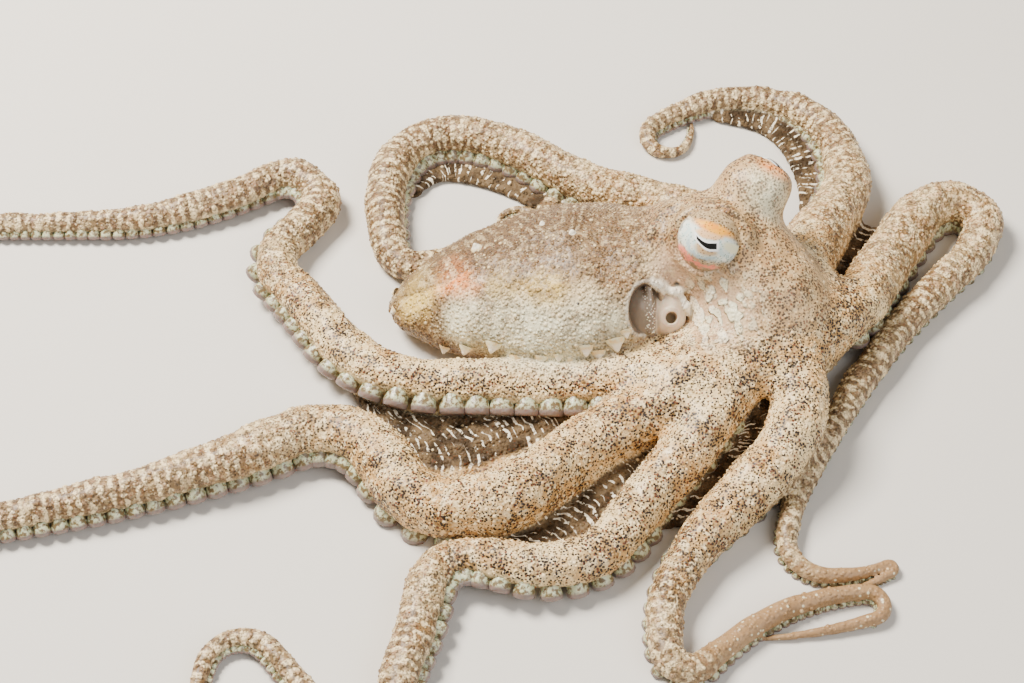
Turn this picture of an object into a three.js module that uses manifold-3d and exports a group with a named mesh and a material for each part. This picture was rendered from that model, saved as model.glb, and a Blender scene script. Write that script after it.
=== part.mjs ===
import * as THREE from 'three';
import Module from 'manifold-3d';
import { mergeVertices } from 'three/addons/utils/BufferGeometryUtils.js';

// A small long-armed sand octopus at rest on a flat floor, life size, in millimetres.
// The origin is on the floor under the mouth. The mantle lies towards -X and +Z is up.

const wasm = await Module();
wasm.setup();

// ---- Driving dimensions -------------------------------------------------------------------

const gap = 0.3;              // clearance between neighbouring pieces
const crownRing = 4;          // radius of the ring round the mouth where the arms are rooted
const crownHeight = 8.5;      // height of an arm's middle line at that ring
const settleLength = 30;      // length over which an arm comes down to the floor
const restHeight = 0.85;      // height of a resting arm's middle line, in arm radii
const armSides = 8;           // sides of an arm's section
const coarseStep = 1.9;       // distance between an arm's sections, in arm radii
const finestStep = 1.5;       // least distance between two sections
const sliver = 0.04;          // detail finer than this is dropped from a cut piece
const massSides = 10;         // sides of a round mass of the head or crown
const eyeSides = 12;
const ringsPerSide = 0.6;     // rings of a round mass for each of its sides
const mantleSides = 16;
const mantleRings = 14;
const funnelSides = 12;
const webCells = [5, 6];      // cells of a web from arm to arm, and outwards
const fringeCells = [2, 10];  // cells of a fringe across, and along its arm
const lastStep = 1.4;         // longest last step along an arm, in steps
const stepCut = 0.8;          // share of a step that is kept when the arm bends too much
const skySize = 400;          // a block larger than the whole body
const sharpestStep = 34;      // most degrees that an arm turns between two sections

// Arms in the order they stand round the mouth. Each is rooted at its own bearing, sets off at
// its heading and then follows its bends: [run in mm, turn in degrees, left positive].
// The radii are spaced evenly from root to tip.
const arms = [
  {
    name: 'arm_right_4', root: -155, heading: -145, pieces: 6,
    radii: [4.2, 4.2, 3.3, 2.4, 1.6, 0.4],
    bends: [[7, 0], [6, -41], [29, 7], [21, -60], [12, 8], [9, -76], [6, 2], [15, 158],
      [9, -8], [16, -24], [22, 0], [16, -30], [20, -120], [12, -150]],
  },
  {
    name: 'arm_right_3', root: -140, heading: -139, pieces: 6,
    radii: [4.3, 4.7, 3.8, 2.6, 1.7, 0.4],
    bends: [[10, -6], [11, -14], [7, 22], [10, -6], [7, -24], [13, -79], [5, 14], [13, 80],
      [8, -6], [32, -10], [14, 0], [24, -30], [24, -90], [16, -160]],
  },
  {
    name: 'arm_right_2', root: -118, heading: -120, pieces: 6,
    radii: [4.2, 3.7, 3.1, 2.2, 1.4, 0.35],
    bends: [[6, -2], [14, -10], [11, 10], [4, -10], [14, -63], [5, 0], [9, 99], [11, -14],
      [4, 26], [9, -2], [7, -150], [21, 5], [11, 132], [12, 10], [18, 130]],
  },
  {
    name: 'arm_right_1', root: -60, heading: -75, pieces: 4,
    radii: [4.2, 4.0, 2.8, 1.75, 1.25, 0.5],
    bends: [[7, -7], [4, -28], [7, -22], [15, 0], [13, 35], [5, 14], [6, 128], [8, -8],
      [17, -32], [6, -168], [16, -14]],
  },
  {
    name: 'arm_left_1', root: 0, heading: 6, pieces: 5,
    radii: [4.3, 4.15, 2.8, 2.4, 1.6, 0.4],
    bends: [[3, 19], [10, 38], [14, -1], [8, -12], [5, -34], [9, -124], [8, -27], [27, 13],
      [21, 7], [8, 15], [9, 101], [8, 26], [2, -176], [10, -19]],
  },
  {
    name: 'arm_left_2', root: 50, heading: 70, pieces: 4,
    radii: [4.5, 4.7, 3.5, 2.2, 1.7, 0.5],
    bends: [[11, 1], [10, -9], [8, 4], [7, 26], [9, 23], [7, 28], [7, 31], [7, 24], [10, 21],
      [6, 110], [5, 90], [6, 40]],
  },
  {
    name: 'arm_left_3', root: 100, heading: 98, pieces: 5,
    radii: [4.2, 3.8, 3.5, 3.4, 2.2, 0.4],
    bends: [[13, 4], [10, 33], [6, 26], [6, 0], [14, -23], [7, 15], [8, 22], [5, 32], [7, 42],
      [10, 26], [7, 7], [7, 95], [9, 12], [7, -6], [10, 190], [5, 120]],
  },
  {
    name: 'arm_left_4', root: 140, heading: 112, pieces: 3,
    radii: [4.1, 3.6, 2.6, 1.7, 1.0, 0.4],
    bends: [[14, 5], [12, 45], [9, 15], [11, -150], [8, -160], [5, -150]],
  },
];

// Stretched skin between two neighbouring arms, and how far it reaches out along each.
const webs = [
  { name: 'web_right_3_4', arms: ['arm_right_4', 'arm_right_3'], reach: [68, 66] },
  { name: 'web_right_2_3', arms: ['arm_right_3', 'arm_right_2'], reach: [60, 54] },
  { name: 'web_right_1_2', arms: ['arm_right_2', 'arm_right_1'], reach: [34, 34] },
  { name: 'web_left_1_2', arms: ['arm_left_1', 'arm_left_2'], reach: [38, 32] },
  { name: 'web_left_2_3', arms: ['arm_left_2', 'arm_left_3'], reach: [24, 24] },
];
// The margin of skin that runs along the inside of a bent arm.
const fringes = [
  { name: 'fringe_left_2', arm: 'arm_left_2', from: 26, to: 66, width: 4 },
  { name: 'fringe_left_3', arm: 'arm_left_3', from: 40, to: 80, width: 3.5 },
];
const webThickness = 1;
const webFloor = 0.2;         // height of a web's underside where it lies lowest
const webSag = 0.16;          // how far a web's free edge draws in, as a share of its reach
const webRootHeight = 0.6;    // height of a web's underside at the mouth, in arm heights
const webSettle = [0.2, 0.9]; // shares of its reach between which a web comes down to the floor

// The mantle, an egg that lies along X: half widths at shares of its length from the tip.
const mantle = {
  tip: -53.3,
  front: -12.5,
  middleY: 8.6,
  flatness: 0.7,
  outline: [[0, 0], [0.03, 3.2], [0.14, 6.9], [0.3, 10.2], [0.45, 12.4], [0.62, 13.6],
    [0.76, 13.0], [0.88, 11.2], [0.97, 7], [1, 0]],
  heights: [3.4, 5.7, 7, 8.6, 12.4],
};

// The head and the crown of the arms, as round masses: middle, half sizes and heading.
const headMasses = [
  { middle: [-12, 10.4, 12.8], half: [7.5, 7.6, 7.6], heading: 0 },
  { middle: [-5.5, 9.5, 14], half: [9.5, 8.5, 8.6], heading: -35 },
  { middle: [-1.5, 4.5, 12], half: [9.5, 8.5, 7.5], heading: -45 },
  { middle: [-7.6, 7.2, 19.2], half: [5.3, 5.3, 5], heading: 0 },
  { middle: [-2.6, 14.4, 20.4], half: [5.2, 5.2, 5.4], heading: 0 },
];
const crownMasses = [
  { middle: [0, 0.5, 7], half: [9.6, 9, 7.7], heading: -30 },
  { middle: [3.5, 4.5, 6.6], half: [9, 9, 7], heading: 0 },
  { middle: [-11.5, -1, 5.2], half: [6, 5, 4.9], heading: -20 },
];

const eyes = [
  { name: 'eye_right', middle: [-8.6, 6.2, 20], radius: 4.5 },
  { name: 'eye_left', middle: [-1.6, 15.2, 21.2], radius: 4.3 },
];

const funnel = {
  base: [-13.5, 6, 9.6],
  end: [-13.6, -0.4, 11],
  baseRadius: 3.2,
  endRadius: 2.2,
  boreRadius: 1,
  boreDepth: 3,
  lipDepth: 0.5,
  lipInset: 0.4,
};
const mantleOpening = { middle: [-17.2, -0.9, 13.7], half: [2.4, 3.6, 3.7], heading: 0 };

// ---- Materials ----------------------------------------------------------------------------

const finishes = {
  skin: new THREE.MeshStandardMaterial({ color: 0xc3ad92, roughness: 0.55, metalness: 0 }),
  web: new THREE.MeshStandardMaterial({ color: 0x6b5a48, roughness: 0.5, metalness: 0 }),
  funnel: new THREE.MeshStandardMaterial({ color: 0x9a8f84, roughness: 0.4, metalness: 0 }),
  eye: new THREE.MeshStandardMaterial({ color: 0xb9c4c8, roughness: 0.15, metalness: 0 }),
};

// ---- Solids -------------------------------------------------------------------------------

const radians = THREE.MathUtils.degToRad;

function toSolid(geometry) {
  geometry.deleteAttribute('normal');
  geometry.deleteAttribute('uv');
  const merged = mergeVertices(geometry, 1e-4);
  const vertProperties = new Float32Array(merged.attributes.position.array);
  const triVerts = new Uint32Array(merged.index.array);
  return new wasm.Manifold(new wasm.Mesh({ numProp: 3, vertProperties, triVerts }));
}

function toGeometry(solid) {
  const mesh = solid.getMesh();
  const geometry = new THREE.BufferGeometry();
  geometry.setAttribute('position', new THREE.BufferAttribute(mesh.vertProperties, 3));
  geometry.setIndex(new THREE.BufferAttribute(mesh.triVerts, 1));
  return geometry;
}

// Moves every point of a geometry by a rule that takes and returns [x, y, z].
function reshape(geometry, rule) {
  const position = geometry.attributes.position;
  for (let i = 0; i < position.count; i += 1) {
    const moved = rule(position.getX(i), position.getY(i), position.getZ(i));
    position.setXYZ(i, ...moved);
  }
  return geometry;
}

function aboveFloor(solid) {
  const block = new THREE.BoxGeometry(skySize, skySize, skySize);
  block.translate(0, 0, skySize / 2);
  return solid.intersect(toSolid(block));
}

function roundMass({ middle, half, heading }, grow = 0, sides = massSides) {
  const geometry = new THREE.SphereGeometry(1, sides, Math.round(sides * ringsPerSide));
  geometry.rotateX(Math.PI / 2);
  geometry.scale(...half.map((size) => size + grow));
  geometry.rotateZ(radians(heading));
  geometry.translate(...middle);
  return toSolid(geometry);
}

function joined(masses, grow) {
  const solids = masses.map((mass) => roundMass(mass, grow));
  return solids.reduce((whole, solid) => whole.add(solid));
}

function makeMantle(grow = 0) {
  const length = mantle.front - mantle.tip;
  const knots = mantle.outline.map(([share, half]) => new THREE.Vector2(half, share * length));
  const profile = new THREE.SplineCurve(knots).getPoints(mantleRings);
  profile.forEach((point) => { point.x = Math.max(point.x, 0); });
  profile[0].x = 0;
  profile[profile.length - 1].x = 0;
  const lift = new THREE.SplineCurve(mantle.heights.map((z, i) => new THREE.Vector2(i, z)));
  const geometry = new THREE.LatheGeometry(profile, mantleSides);
  reshape(geometry, (side, along, up) => {
    const share = THREE.MathUtils.clamp(along / length, 0, 1);
    const reach = Math.hypot(side, up);
    const swell = reach > 0 ? (reach + grow) / reach : 1;
    const end = share < 0.5 ? -grow : grow;
    const z = lift.getPoint(share).y - up * swell * mantle.flatness;
    return [
      mantle.tip + along + (reach > 0 ? 0 : end),
      mantle.middleY + side * swell,
      Math.max(z, 0),
    ];
  });
  return toSolid(geometry);
}

function makeFunnel(grow = 0) {
  const base = new THREE.Vector3(...funnel.base);
  const end = new THREE.Vector3(...funnel.end);
  const length = base.distanceTo(end) + grow;
  const outer = [
    [0, -grow], [funnel.baseRadius + grow, -grow],
    [funnel.endRadius + grow, length - funnel.lipDepth],
    [funnel.endRadius - funnel.lipInset + grow, length],
  ];
  const bore = grow > 0 ? [[0, length]] : [
    [funnel.boreRadius, length], [funnel.boreRadius, length - funnel.boreDepth],
    [0, length - funnel.boreDepth],
  ];
  const profile = [...outer, ...bore].map(([x, y]) => new THREE.Vector2(x, y));
  const geometry = new THREE.LatheGeometry(profile, funnelSides);
  const up = new THREE.Vector3(0, 1, 0);
  const aim = end.clone().sub(base).normalize();
  geometry.applyQuaternion(new THREE.Quaternion().setFromUnitVectors(up, aim));
  geometry.translate(...funnel.base);
  return toSolid(geometry);
}

// ---- Arms ---------------------------------------------------------------------------------

function armLength(arm) {
  return arm.bends.reduce((sum, [run]) => sum + run, 0);
}

// Place and heading on the floor plan at a distance along the arm.
function walk(arm, distance) {
  let x = crownRing * Math.cos(radians(arm.root));
  let y = crownRing * Math.sin(radians(arm.root));
  let heading = radians(arm.heading);
  let left = distance;
  for (const [run, turn] of arm.bends) {
    const part = Math.min(run, left);
    const angle = radians(turn) * part / run;
    const chord = Math.abs(angle) < 1e-6 ? part : 2 * part * Math.sin(angle / 2) / angle;
    x += chord * Math.cos(heading + angle / 2);
    y += chord * Math.sin(heading + angle / 2);
    heading += angle;
    left -= part;
  }
  return { x: x + left * Math.cos(heading), y: y + left * Math.sin(heading), heading };
}

function armRadius(arm, distance) {
  const spans = arm.radii.length - 1;
  const place = THREE.MathUtils.clamp(distance / armLength(arm), 0, 1) * spans;
  const index = Math.min(Math.floor(place), spans - 1);
  return THREE.MathUtils.lerp(arm.radii[index], arm.radii[index + 1], place - index);
}

function armHeight(arm, distance) {
  const rest = restHeight * armRadius(arm, distance);
  const settled = THREE.MathUtils.smoothstep(distance, 0, settleLength);
  return THREE.MathUtils.lerp(crownHeight, rest, settled);
}

// Distances of the sections between two places on an arm, closer where it is thin or bends.
function sectionsBetween(arm, start, end) {
  const places = [start];
  let here = start;
  while (here < end) {
    let step = Math.max(coarseStep * armRadius(arm, here), 2 * finestStep);
    const bend = () => Math.abs(walk(arm, here + step).heading - walk(arm, here).heading);
    while (bend() > radians(sharpestStep) && step > finestStep) step *= stepCut;
    here = end - here < lastStep * step ? end : here + step;
    places.push(here);
  }
  return places;
}

// A closed length of arm: a cylinder whose sections are carried along the arm's route and
// flattened where they meet the floor.
function armPiece(arm, start, end, grow = 0) {
  const places = sectionsBetween(arm, start, end);
  const rows = places.length - 1;
  places[0] -= grow;
  places[rows] += grow;
  const geometry = new THREE.CylinderGeometry(1, 1, 1, armSides, rows, false, Math.PI / armSides);
  reshape(geometry, (side, along, up) => {
    const distance = places[Math.round((along + 0.5) * rows)];
    const spot = walk(arm, distance);
    const radius = armRadius(arm, distance) + grow;
    return [
      spot.x - side * radius * Math.sin(spot.heading),
      spot.y + side * radius * Math.cos(spot.heading),
      Math.max(armHeight(arm, distance) - up * radius, 0),
    ];
  });
  return toSolid(geometry);
}

function armPieces(arm) {
  const share = armLength(arm) / arm.pieces;
  return Array.from({ length: arm.pieces }, (_, i) => {
    const start = i * share + gap / 2;
    const end = (i + 1) * share - gap / 2;
    return {
      name: `${arm.name}_${i + 1}`,
      shape: (grow = 0) => armPiece(arm, start, end, grow),
    };
  });
}

// ---- Webs ---------------------------------------------------------------------------------

// A sheet between two arms: one way runs out from the mouth, the other from arm to arm.
function webSheet(web) {
  const [second, first] = web.arms.map((name) => arms.find((arm) => arm.name === name));
  const geometry = new THREE.BoxGeometry(1, 1, 1, ...webCells);
  reshape(geometry, (across, outward, up) => {
    const share = across + 0.5;
    const reach = (outward + 0.5) * (1 - webSag * Math.sin(Math.PI * share));
    const edges = [first, second].map((arm, i) => {
      const distance = reach * web.reach[1 - i];
      const spot = walk(arm, distance);
      return new THREE.Vector3(spot.x, spot.y, armHeight(arm, distance));
    });
    const point = edges[0].lerp(edges[1], share);
    const settled = THREE.MathUtils.smoothstep(reach, ...webSettle);
    const underside = THREE.MathUtils.lerp(point.z * webRootHeight, webFloor, settled);
    return [point.x, point.y, underside + (up + 0.5) * webThickness];
  });
  return toSolid(geometry);
}

// A flat strip on the left of an arm, on the floor.
function fringeStrip({ arm: armName, from, to, width }) {
  const arm = arms.find((candidate) => candidate.name === armName);
  const geometry = new THREE.BoxGeometry(1, 1, 1, ...fringeCells);
  reshape(geometry, (across, along, up) => {
    const share = along + 0.5;
    const distance = THREE.MathUtils.lerp(from, to, share);
    const spot = walk(arm, distance);
    const reach = armRadius(arm, distance) + width * Math.sqrt(Math.sin(Math.PI * share));
    const side = (0.5 - across) * reach;
    return [
      spot.x - side * Math.sin(spot.heading),
      spot.y + side * Math.cos(spot.heading),
      webFloor + (up + 0.5) * webThickness,
    ];
  });
  return toSolid(geometry);
}

// ---- The body -----------------------------------------------------------------------------

const octopus = new THREE.Group();
const placed = [];

function overlaps(a, b) {
  const first = a.boundingBox();
  const second = b.boundingBox();
  return [0, 1, 2].every((i) => first.min[i] < second.max[i] && second.min[i] < first.max[i]);
}

function largestBody(solid) {
  return solid.decompose().reduce((best, body) => (body.volume() > best.volume() ? body : best));
}

// Adds a piece, cut clear of every piece placed before it.
function place(name, shape, finish, grown = shape(gap)) {
  let solid = shape(0);
  for (const other of placed) {
    if (overlaps(solid, other.grown)) solid = solid.subtract(other.grown);
  }
  solid = largestBody(solid).simplify(sliver);
  const mesh = new THREE.Mesh(toGeometry(solid), finishes[finish]);
  mesh.name = name;
  octopus.add(mesh);
  placed.push({ name, grown });
}

eyes.forEach((eye) => {
  const ball = { middle: eye.middle, half: [eye.radius, eye.radius, eye.radius], heading: 0 };
  place(eye.name, (grow) => roundMass(ball, grow, eyeSides), 'eye');
});
place('funnel', makeFunnel, 'funnel');
place('head', (grow) => joined(headMasses, grow), 'skin');
place('crown', (grow) => aboveFloor(joined(crownMasses, grow)), 'skin');
place('mantle', (grow) => makeMantle(grow).subtract(roundMass(mantleOpening, -grow)), 'skin');
arms.forEach((arm) => {
  armPieces(arm).forEach((piece) => place(piece.name, piece.shape, 'skin'));
});
webs.forEach((web) => {
  place(web.name, () => webSheet(web), 'web');
});
fringes.forEach((fringe) => {
  place(fringe.name, () => fringeStrip(fringe), 'web');
});

export default octopus;
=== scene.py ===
import math
from functools import reduce

import bpy
import numpy as np
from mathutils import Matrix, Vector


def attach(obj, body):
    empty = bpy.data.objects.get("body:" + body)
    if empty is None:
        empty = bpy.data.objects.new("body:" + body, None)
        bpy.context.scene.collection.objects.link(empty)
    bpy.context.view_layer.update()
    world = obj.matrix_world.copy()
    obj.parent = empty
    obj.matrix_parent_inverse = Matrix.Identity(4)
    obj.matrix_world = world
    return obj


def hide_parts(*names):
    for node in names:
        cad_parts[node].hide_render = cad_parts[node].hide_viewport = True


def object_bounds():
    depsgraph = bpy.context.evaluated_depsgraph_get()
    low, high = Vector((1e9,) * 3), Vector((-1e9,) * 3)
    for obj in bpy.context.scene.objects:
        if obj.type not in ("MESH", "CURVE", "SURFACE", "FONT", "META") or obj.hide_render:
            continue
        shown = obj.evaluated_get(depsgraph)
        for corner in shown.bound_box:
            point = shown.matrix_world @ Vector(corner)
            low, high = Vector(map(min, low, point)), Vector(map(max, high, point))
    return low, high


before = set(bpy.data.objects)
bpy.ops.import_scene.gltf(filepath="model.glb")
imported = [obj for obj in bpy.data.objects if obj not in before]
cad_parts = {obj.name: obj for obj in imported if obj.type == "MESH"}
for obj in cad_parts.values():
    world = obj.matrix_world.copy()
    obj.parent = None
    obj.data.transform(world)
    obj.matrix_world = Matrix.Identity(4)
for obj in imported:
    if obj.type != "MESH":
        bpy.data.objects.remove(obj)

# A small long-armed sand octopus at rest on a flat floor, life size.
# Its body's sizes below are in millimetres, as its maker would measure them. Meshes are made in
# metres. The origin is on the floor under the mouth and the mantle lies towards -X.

import openvdb
from mathutils import Vector, kdtree

cad_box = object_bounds()

MM = 0.001

# ---- The body's sizes ----

CROWN_RING = 4.0        # radius of the ring round the mouth where the arms are rooted
CROWN_HEIGHT = 8.5      # height of an arm's middle line at that ring
SETTLE_LENGTH = 30.0    # length over which an arm comes down to the floor
REST_HEIGHT = 0.85      # height of a resting arm's middle line, in arm radii
ROUTE_STEP = 0.6        # distance between two places on an arm's route
COAT_DEPTH = 0.18       # room that the granules take between the skin and the body's outline
SOLE_HEIGHT = 0.7       # where an arm's suckered side is flat, in arm radii from its middle
SOLE_EDGE = 0.35        # how wide the rounding at the edge of that flat is, in arm radii
SKIN_FLOOR = 0.02       # height of the skin's lowest places

# Each arm: the ways of its root round the mouth and of its first run, in degrees, its roll, its
# radii at even distances, and its bends as runs and turns to the left. Roll is how far its
# suckered side turns to its left from facing the floor, at distances along it.
ARMS = {
    "arm_right_4": (-155, -145, [(6, 0), (20, 55), (48, 62), (75, 45), (120, 35)],
        [4.2, 4.2, 3.3, 2.4, 1.6, 0.4], [
        (7, 0), (6, -41), (29, 7), (21, -60), (12, 8), (9, -76), (6, 2), (15, 158), (9, -8),
        (16, -24), (22, 0), (16, -30), (20, -120), (12, -150)]),
    "arm_right_3": (-140, -139, [(6, 0), (26, 6), (52, 6), (64, 34), (110, 34)],
        [4.3, 4.7, 3.8, 2.6, 1.7, 0.4], [
        (10, -6), (11, -14), (7, 22), (10, -6), (7, -24), (13, -79), (5, 14), (13, 80), (8, -6),
        (32, -10), (14, 0), (24, -30), (24, -90), (16, -160)]),
    "arm_right_2": (-118, -120, [(6, 0), (26, 8), (40, 30), (50, 55), (80, 40)],
        [4.2, 3.7, 3.1, 2.2, 1.4, 0.35], [
        (6, -2), (14, -10), (11, 10), (4, -10), (14, -63), (5, 0), (9, 99), (11, -14), (4, 26),
        (9, -2), (7, -150), (21, 5), (11, 132), (12, 10), (18, 130)]),
    "arm_right_1": (-60, -75, [(6, 0), (30, -15)],
        [4.2, 4.0, 2.8, 1.75, 1.25, 0.5], [
        (7, -7), (4, -28), (7, -22), (15, 0), (13, 35), (5, 14), (6, 128), (8, -8), (17, -32),
        (6, -168), (16, -14)]),
    "arm_left_1": (0, 6, [(6, 0), (30, -10)],
        [4.3, 4.15, 2.8, 2.4, 1.6, 0.4], [
        (3, 19), (10, 38), (14, -1), (8, -12), (5, -34), (9, -124), (8, -27), (27, 13), (21, 7),
        (8, 15), (9, 101), (8, 26), (2, -176), (10, -19)]),
    "arm_left_2": (50, 70, [(6, 0), (30, 25)],
        [4.5, 4.7, 3.5, 2.2, 1.7, 0.5], [
        (11, 1), (10, -9), (8, 4), (7, 26), (9, 23), (7, 28), (7, 31), (7, 24), (10, 21), (6, 110),
        (5, 90), (6, 40)]),
    "arm_left_3": (100, 98, [(6, 0), (30, 25)],
        [4.2, 3.8, 3.5, 3.4, 2.2, 0.4], [
        (13, 4), (10, 33), (6, 26), (6, 0), (14, -23), (7, 15), (8, 22), (5, 32), (7, 42),
        (10, 26), (7, 7), (7, 95), (9, 12), (7, -6), (10, 190), (5, 120)]),
    "arm_left_4": (140, 112, [(0, 0)],
        [4.1, 3.6, 2.6, 1.7, 1.0, 0.4], [
        (14, 5), (12, 45), (9, 15), (11, -150), (8, -160), (5, -150)]),
}

# Skin stretched between two arms: how far it reaches along each, and the share of the way from
# the first to the second where it stops being dark. Its dark coat is partly the web's own brown
# and partly painted shade, where the web lies low between the arms.
WEBS = [
    ("arm_right_4", "arm_right_3", 68, 66, 0.5),
    ("arm_right_3", "arm_right_2", 60, 54, 0.6),
    ("arm_right_2", "arm_right_1", 34, 34, 0.7),
    ("arm_left_1", "arm_left_2", 38, 32, 0.8),
    ("arm_left_2", "arm_left_3", 24, 24, 0.7),
]
# The margin of skin along the left of an arm: from, to, width.
FRINGES = [("arm_left_2", 26, 66, 4.0), ("arm_left_3", 40, 80, 3.5)]
WEB_THICKNESS = 1.0
WEB_FLOOR = 0.2
WEB_SAG = 0.16
WEB_PLEATS = 9          # folds that run out along a web, from one arm to the next
PLEAT_DEPTH = 0.22
# The skin's rise and fall: how far apart its hills are, seed, height.
UNEVENNESS = [(6.0, 3, 0.32), (2.6, 4, 0.28), (1.3, 5, 0.16)]
MOST_UNEVEN = 0.4       # the most that a web rises by it, in its thickness
# Arms that are smooth beyond a share of their length.
SMOOTH_ARMS = [("arm_right_1", 0.5), ("arm_left_1", 0.78)]
# Arms whose skin is coarse all along. Every arm's is further out.
COARSE_ARMS = ["arm_left_1", "arm_left_2", "arm_left_3"]

MANTLE_TIP, MANTLE_FRONT = -53.3, -12.5
MANTLE_MIDDLE = 8.6
MANTLE_FLATNESS = 0.7
MANTLE_OUTLINE = [(0, 0), (0.03, 3.2), (0.14, 6.9), (0.3, 10.2), (0.45, 12.4), (0.62, 13.6),
                  (0.76, 13.0), (0.88, 11.2), (0.97, 7), (1, 0)]
MANTLE_HEIGHTS = [3.4, 5.7, 7, 8.6, 12.4]

# Round masses: middle, half sizes, heading in degrees.
HEAD_MASSES = [
    ((-12, 10.4, 12.8), (7.5, 7.6, 7.6), 0),
    ((-5.5, 9.5, 14), (9.5, 8.5, 8.6), -35),
    ((-1.5, 4.5, 12), (9.5, 8.5, 7.5), -45),
]
CROWN_MASSES = [
    ((0, 0.5, 7), (9.6, 9, 7.7), -30),
    ((3.5, 4.5, 6.6), (9, 9, 7), 0),
    ((-11.5, -1, 5.2), (6, 5, 4.9), -20),
]
MANTLE_OPENING = ((-17.2, -0.9, 13.7), (2.4, 3.6, 3.7), 0)
# A ragged white flap of skin over the funnel, and the dark dotted brow over the right eye:
# places along them.
FUNNEL_FLAP = [(-16.2, 2.0, 15.7), (-15.1, 2.4, 15.0), (-13.7, 2.0, 14.2), (-12.6, 2.3, 13.6),
               (-11.8, 1.3, 12.6), (-11.4, 0.7, 11.2)]
FLAP_RADII = [0.5, 0.8, 0.6, 0.75, 0.85, 0.6, 0.8, 0.5]
BROW = [(-16.5, 8.5, 19.0), (-14.4, 11.5, 19.6), (-12.4, 12.4, 20.4), (-9.9, 11.8, 21.7),
        (-7.6, 10.2, 23.0), (-6.0, 8.1, 23.8), (-4.8, 6.8, 23.4), (-3.4, 5.8, 22.0)]
BROW_RADIUS, BROW_STEPS = 0.5, 60
# Soft white points along the mantle's edge, the same on both sides, and three on its back:
# place and width.
PAPILLAE = [(-44.5, 1.8, 3.8, 1.0), (-41.4, 0.4, 5.4, 1.1), (-37.9, -1.6, 7.4, 1.2),
            (-34.7, -3.1, 6.2, 1.3), (-31.5, -4.1, 7.0, 1.25), (-29.1, -4.5, 8.0, 0.8),
            (-27.6, -4.7, 7.0, 1.0), (-25.4, -4.4, 9.4, 1.2), (-23.6, -4.5, 8.4, 1.2),
            (-21.3, -3.8, 10.0, 1.5), (-19.9, -3.2, 11.4, 0.9), (-52.2, 6.9, 4.4, 0.8)]
BACK_PAPILLAE = [(-40.2, 11.3, 12.0, 0.9), (-31.0, 12.8, 15.0, 0.9), (-27.1, 10.0, 16.6, 1.0)]

# The eyes look up and out to the two sides. level and rise are the ways that an eye's width
# and height run, and lid is how far from its look the lids close over it, in degrees.
EYE_RIGHT = dict(name="eye_right", middle=(-8.6, 6.2, 20.0), radius=4.5,
                 look=(-0.2, -0.62, 0.76), level=(1.0, 0.0, 0.0), lid=72)
EYE_LEFT = dict(name="eye_left", middle=(-1.6, 15.2, 21.2), radius=4.3,
                look=(0.55, 0.68, 0.42), level=(-0.8, 0.6, 0.0), lid=46)
EYES = (EYE_RIGHT, EYE_LEFT)
EYE_MOUNDS = [((-7.6, 7.2, 19.2), (5.3, 5.3, 5.0), 0), ((-2.6, 14.4, 20.4), (5.2, 5.2, 5.4), 0)]
LID_THICKNESS = 0.65
EYE_ROWS, EYE_SIDES = 40, 56

# The funnel: a bulb and the collar beside it, as balls of a middle and a radius, the granular
# ridge between them, and the bore in the bulb.
FUNNEL_BULB = [((-13.95, 0.75, 9.95), 2.45), ((-13.95, 1.9, 11.7), 2.15)]
FUNNEL_COLLAR = [((-17.9, 1.9, 11.6), 2.9), ((-17.6, 0.5, 8.9), 2.6)]
FUNNEL_RIDGE = [(-16.9, 2.0, 15.0), (-16.7, 0.8, 13.8), (-16.5, -0.6, 12.2), (-16.3, -1.8, 10.3)]
FUNNEL_RIDGE_RADIUS, FUNNEL_RIDGE_STEPS = 0.5, 24
BULB_SOFTNESS, COLLAR_SOFTNESS, RIDGE_SOFTNESS = 1.4, 2.0, 0.1
FUNNEL_AIM = (0.12, -0.6, 0.8)
FUNNEL_BORE, FUNNEL_BORE_DEPTH, FUNNEL_LIP = 0.8, 1.0, 1.3
FUNNEL_CORNER, FUNNEL_REACH, FUNNEL_CELL = (-22.0, -3.5, 5.0), (11.5, 9.0, 12.0), 0.16

CELL = 0.4      # size of the cells in which the skin is worked out
AIR, UNDER_FLOOR = 3, 1.2          # room for it round the body, and under the floor
FAR = 6.0                          # the distance given to cells that nothing is near
SKIN_TRIANGLES = 190000


# ---- Small helpers ----

def unit(vector):
    vector = np.asarray(vector, float)
    return vector / np.linalg.norm(vector, axis=-1, keepdims=True)


def ease(value, low, high):
    """A smooth change from 0 to 1 while the value goes from low to high."""
    share = np.clip((value - low) / (high - low), 0, 1)
    return share * share * (3 - 2 * share)


def blended(a, b, width):
    """The nearer of two surfaces, rounded where they meet over a width."""
    share = np.clip(0.5 + 0.5 * (b - a) / width, 0, 1)
    return b + (a - b) * share - width * share * (1 - share)


def hollowed(a, b, width):
    """Surface a with b cut out of it, its edge rounded over a width."""
    return -blended(-a, b, width)


def points_along(corners, count):
    """Places spaced evenly along a bent line."""
    corners = np.array(corners)
    share = np.linspace(0, len(corners) - 1, count)
    return np.stack([np.interp(share, range(len(corners)), way) for way in corners.T], -1)


def add_object(name, data):
    piece = bpy.data.objects.new(name, data)
    bpy.context.scene.collection.objects.link(piece)
    return piece


def mesh_object(name, places, faces):
    """A smooth mesh from places in millimetres."""
    mesh = bpy.data.meshes.new(name)
    mesh.from_pydata((np.asarray(places) * MM).tolist(), [], faces)
    mesh.update()
    mesh.shade_smooth()
    return add_object(name, mesh)


def plain_copy(source, name):
    """The evaluated object as a plain mesh of its own. The source is removed."""
    graph = bpy.context.evaluated_depsgraph_get()
    mesh = bpy.data.meshes.new_from_object(source.evaluated_get(graph))
    bpy.data.objects.remove(source)
    mesh.name = name
    return add_object(name, mesh)


def give_trait(mesh, name, values, kind="FLOAT"):
    trait = mesh.attributes.new(name, kind, "POINT")
    values = np.asarray(values, np.int32 if kind == "INT" else np.float32)
    trait.data.foreach_set("vector" if kind == "FLOAT_VECTOR" else "value", values.ravel())


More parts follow.
